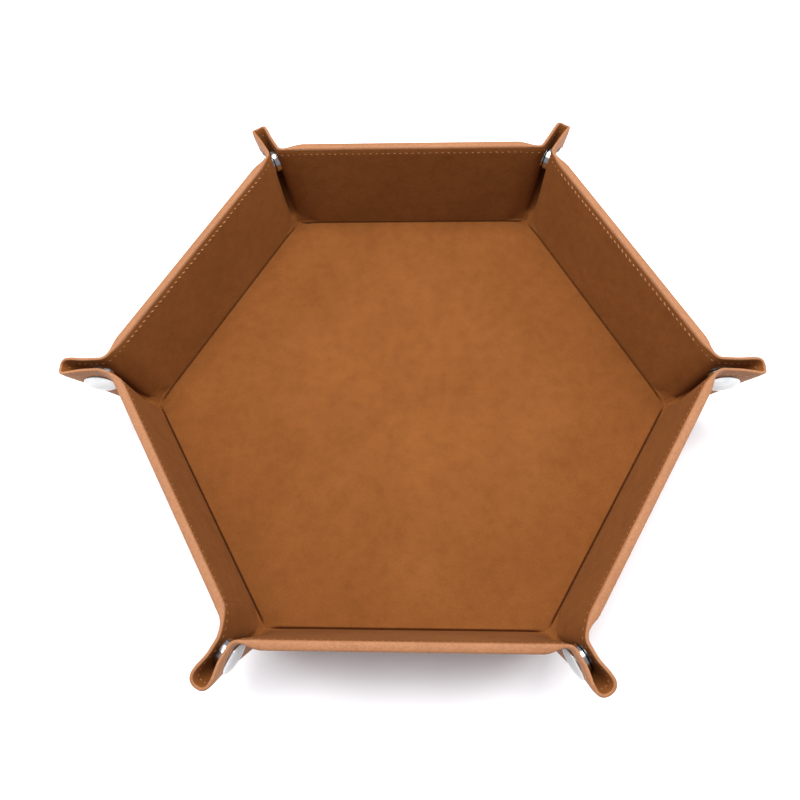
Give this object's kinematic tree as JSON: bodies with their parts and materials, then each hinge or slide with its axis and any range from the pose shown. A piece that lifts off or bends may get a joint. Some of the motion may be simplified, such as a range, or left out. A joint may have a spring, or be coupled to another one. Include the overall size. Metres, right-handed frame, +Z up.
{
  "type": "folding dice tray",
  "caption": "Low hexagonal tray of suede-lined faux leather whose leaning walls are held up by snapped, pinched corners and fold out flat.",
  "frame": {"origin": "centre of the floor's underside, on the surface the tray stands on", "axes": "+Z up; +X through a corner and its ear; -Y through the middle of a flat side"},
  "size_m": [0.259, 0.2272, 0.041],
  "materials": {
    "cover": "smooth tan faux leather with a fine grain",
    "lining": "napped suede-like cloth, cognac brown",
    "board": "grey-brown bookbinder's board",
    "snap_metal": "polished nickel plate",
    "thread": "matte twisted thread"
  },
  "bodies": {
    "floor": {"floor_cover": "cover", "floor_board": "board", "floor_lining": "lining"},
    "wall_1": {"wall_cover_1": "cover", "wall_board_1": "board", "wall_lining_1": "lining"},
    "wall_2": {"wall_cover_2": "cover", "wall_board_2": "board", "wall_lining_2": "lining"},
    "wall_3": {"wall_cover_3": "cover", "wall_board_3": "board", "wall_lining_3": "lining"},
    "wall_4": {"wall_cover_4": "cover", "wall_board_4": "board", "wall_lining_4": "lining"},
    "wall_5": {"wall_cover_5": "cover", "wall_board_5": "board", "wall_lining_5": "lining"},
    "wall_6": {"wall_cover_6": "cover", "wall_board_6": "board", "wall_lining_6": "lining"},
    "socket_half_1": {"ear_socket_half_1": "cover", "snap_socket_1": "snap_metal"},
    "stud_half_1": {"ear_stud_half_1": "cover", "snap_stud_1": "snap_metal"},
    "ear_fold_1": {"ear_fold_1": "cover"},
    "socket_half_2": {"ear_socket_half_2": "cover", "snap_socket_2": "snap_metal"},
    "stud_half_2": {"ear_stud_half_2": "cover", "snap_stud_2": "snap_metal"},
    "ear_fold_2": {"ear_fold_2": "cover"},
    "socket_half_3": {"ear_socket_half_3": "cover", "snap_socket_3": "snap_metal"},
    "stud_half_3": {"ear_stud_half_3": "cover", "snap_stud_3": "snap_metal"},
    "ear_fold_3": {"ear_fold_3": "cover"},
    "socket_half_4": {"ear_socket_half_4": "cover", "snap_socket_4": "snap_metal"},
    "stud_half_4": {"ear_stud_half_4": "cover", "snap_stud_4": "snap_metal"},
    "ear_fold_4": {"ear_fold_4": "cover"},
    "socket_half_5": {"ear_socket_half_5": "cover", "snap_socket_5": "snap_metal"},
    "stud_half_5": {"ear_stud_half_5": "cover", "snap_stud_5": "snap_metal"},
    "ear_fold_5": {"ear_fold_5": "cover"},
    "socket_half_6": {"ear_socket_half_6": "cover", "snap_socket_6": "snap_metal"},
    "stud_half_6": {"ear_stud_half_6": "cover", "snap_stud_6": "snap_metal"},
    "ear_fold_6": {"ear_fold_6": "cover"}
  },
  "joints": [
    {"name": "wall_1_fold", "type": "hinge", "parent": "floor", "child": "wall_1", "pos_m": [0.07742, 0.0447, 0.002], "axis": [-0.5, 0.866, 0], "range_deg": [0, 80.5]},
    {"name": "wall_2_fold", "type": "hinge", "parent": "floor", "child": "wall_2", "pos_m": [0, 0.0894, 0.002], "axis": [-1, 0, 0], "range_deg": [0, 80.5]},
    {"name": "wall_3_fold", "type": "hinge", "parent": "floor", "child": "wall_3", "pos_m": [-0.07742, 0.0447, 0.002], "axis": [-0.5, -0.866, 0], "range_deg": [0, 80.5]},
    {"name": "wall_4_fold", "type": "hinge", "parent": "floor", "child": "wall_4", "pos_m": [-0.07742, -0.0447, 0.002], "axis": [0.5, -0.866, 0], "range_deg": [0, 80.5]},
    {"name": "wall_5_fold", "type": "hinge", "parent": "floor", "child": "wall_5", "pos_m": [0, -0.0894, 0.002], "axis": [1, 0, 0], "range_deg": [0, 80.5]},
    {"name": "wall_6_fold", "type": "hinge", "parent": "floor", "child": "wall_6", "pos_m": [0.07742, -0.0447, 0.002], "axis": [0.5, 0.866, 0], "range_deg": [0, 80.5]},
    {"name": "ear_1_socket_side", "type": "hinge", "parent": "wall_1", "child": "socket_half_1", "pos_m": [0.05289, 0.0872, 0.002], "axis": [0.0949, 0.1643, 0.9818], "range_deg": [0, 60.45]},
    {"name": "ear_1_stud_side", "type": "hinge", "parent": "wall_2", "child": "stud_half_1", "pos_m": [0.04907, 0.0894, 0.002], "axis": [-0.0949, -0.1643, -0.9818], "range_deg": [0, 60.45]},
    {"name": "ear_1_fold", "type": "hinge", "parent": "socket_half_1", "child": "ear_fold_1", "pos_m": [0.05711, 0.09892, 0.01541], "axis": [-0.2903, -0.5028, -0.8142], "range_deg": [0, 179]},
    {"name": "ear_2_socket_side", "type": "hinge", "parent": "wall_2", "child": "socket_half_2", "pos_m": [-0.04907, 0.0894, 0.002], "axis": [-0.0949, 0.1643, 0.9818], "range_deg": [0, 60.45]},
    {"name": "ear_2_stud_side", "type": "hinge", "parent": "wall_3", "child": "stud_half_2", "pos_m": [-0.05289, 0.0872, 0.002], "axis": [0.0949, -0.1643, -0.9818], "range_deg": [0, 60.45]},
    {"name": "ear_2_fold", "type": "hinge", "parent": "socket_half_2", "child": "ear_fold_2", "pos_m": [-0.05711, 0.09892, 0.01541], "axis": [0.2903, -0.5028, -0.8142], "range_deg": [0, 179]},
    {"name": "ear_3_socket_side", "type": "hinge", "parent": "wall_3", "child": "socket_half_3", "pos_m": [-0.10196, 0.0022, 0.002], "axis": [-0.1897, 0, 0.9818], "range_deg": [0, 60.45]},
    {"name": "ear_3_stud_side", "type": "hinge", "parent": "wall_4", "child": "stud_half_3", "pos_m": [-0.10196, -0.0022, 0.002], "axis": [0.1897, 0, -0.9818], "range_deg": [0, 60.45]},
    {"name": "ear_3_fold", "type": "hinge", "parent": "socket_half_3", "child": "ear_fold_3", "pos_m": [-0.11423, 0, 0.01541], "axis": [0.5806, 0, -0.8142], "range_deg": [0, 179]},
    {"name": "ear_4_socket_side", "type": "hinge", "parent": "wall_4", "child": "socket_half_4", "pos_m": [-0.05289, -0.0872, 0.002], "axis": [-0.0949, -0.1643, 0.9818], "range_deg": [0, 60.45]},
    {"name": "ear_4_stud_side", "type": "hinge", "parent": "wall_5", "child": "stud_half_4", "pos_m": [-0.04907, -0.0894, 0.002], "axis": [0.0949, 0.1643, -0.9818], "range_deg": [0, 60.45]},
    {"name": "ear_4_fold", "type": "hinge", "parent": "socket_half_4", "child": "ear_fold_4", "pos_m": [-0.05711, -0.09892, 0.01541], "axis": [0.2903, 0.5028, -0.8142], "range_deg": [0, 179]},
    {"name": "ear_5_socket_side", "type": "hinge", "parent": "wall_5", "child": "socket_half_5", "pos_m": [0.04907, -0.0894, 0.002], "axis": [0.0949, -0.1643, 0.9818], "range_deg": [0, 60.45]},
    {"name": "ear_5_stud_side", "type": "hinge", "parent": "wall_6", "child": "stud_half_5", "pos_m": [0.05289, -0.0872, 0.002], "axis": [-0.0949, 0.1643, -0.9818], "range_deg": [0, 60.45]},
    {"name": "ear_5_fold", "type": "hinge", "parent": "socket_half_5", "child": "ear_fold_5", "pos_m": [0.05711, -0.09892, 0.01541], "axis": [-0.2903, 0.5028, -0.8142], "range_deg": [0, 179]},
    {"name": "ear_6_socket_side", "type": "hinge", "parent": "wall_6", "child": "socket_half_6", "pos_m": [0.10196, -0.0022, 0.002], "axis": [0.1897, 0, 0.9818], "range_deg": [0, 60.45]},
    {"name": "ear_6_stud_side", "type": "hinge", "parent": "wall_1", "child": "stud_half_6", "pos_m": [0.10196, 0.0022, 0.002], "axis": [-0.1897, 0, -0.9818], "range_deg": [0, 60.45]},
    {"name": "ear_6_fold", "type": "hinge", "parent": "socket_half_6", "child": "ear_fold_6", "pos_m": [0.11423, 0, 0.01541], "axis": [-0.5806, 0, -0.8142], "range_deg": [0, 179]}
  ],
  "couplings": [
    {"joint": "wall_2_fold", "follows": "wall_1_fold", "ratio": 1},
    {"joint": "wall_3_fold", "follows": "wall_1_fold", "ratio": 1},
    {"joint": "wall_4_fold", "follows": "wall_1_fold", "ratio": 1},
    {"joint": "wall_5_fold", "follows": "wall_1_fold", "ratio": 1},
    {"joint": "wall_6_fold", "follows": "wall_1_fold", "ratio": 1},
    {"joint": "ear_1_socket_side", "follows": "wall_1_fold", "ratio": 0.75096},
    {"joint": "ear_1_stud_side", "follows": "wall_1_fold", "ratio": 0.75096},
    {"joint": "ear_1_fold", "follows": "wall_1_fold", "ratio": 2.2236},
    {"joint": "ear_2_socket_side", "follows": "wall_1_fold", "ratio": 0.75096},
    {"joint": "ear_2_stud_side", "follows": "wall_1_fold", "ratio": 0.75096},
    {"joint": "ear_2_fold", "follows": "wall_1_fold", "ratio": 2.2236},
    {"joint": "ear_3_socket_side", "follows": "wall_1_fold", "ratio": 0.75096},
    {"joint": "ear_3_stud_side", "follows": "wall_1_fold", "ratio": 0.75096},
    {"joint": "ear_3_fold", "follows": "wall_1_fold", "ratio": 2.2236},
    {"joint": "ear_4_socket_side", "follows": "wall_1_fold", "ratio": 0.75096},
    {"joint": "ear_4_stud_side", "follows": "wall_1_fold", "ratio": 0.75096},
    {"joint": "ear_4_fold", "follows": "wall_1_fold", "ratio": 2.2236},
    {"joint": "ear_5_socket_side", "follows": "wall_1_fold", "ratio": 0.75096},
    {"joint": "ear_5_stud_side", "follows": "wall_1_fold", "ratio": 0.75096},
    {"joint": "ear_5_fold", "follows": "wall_1_fold", "ratio": 2.2236},
    {"joint": "ear_6_socket_side", "follows": "wall_1_fold", "ratio": 0.75096},
    {"joint": "ear_6_stud_side", "follows": "wall_1_fold", "ratio": 0.75096},
    {"joint": "ear_6_fold", "follows": "wall_1_fold", "ratio": 2.2236}
  ]
}
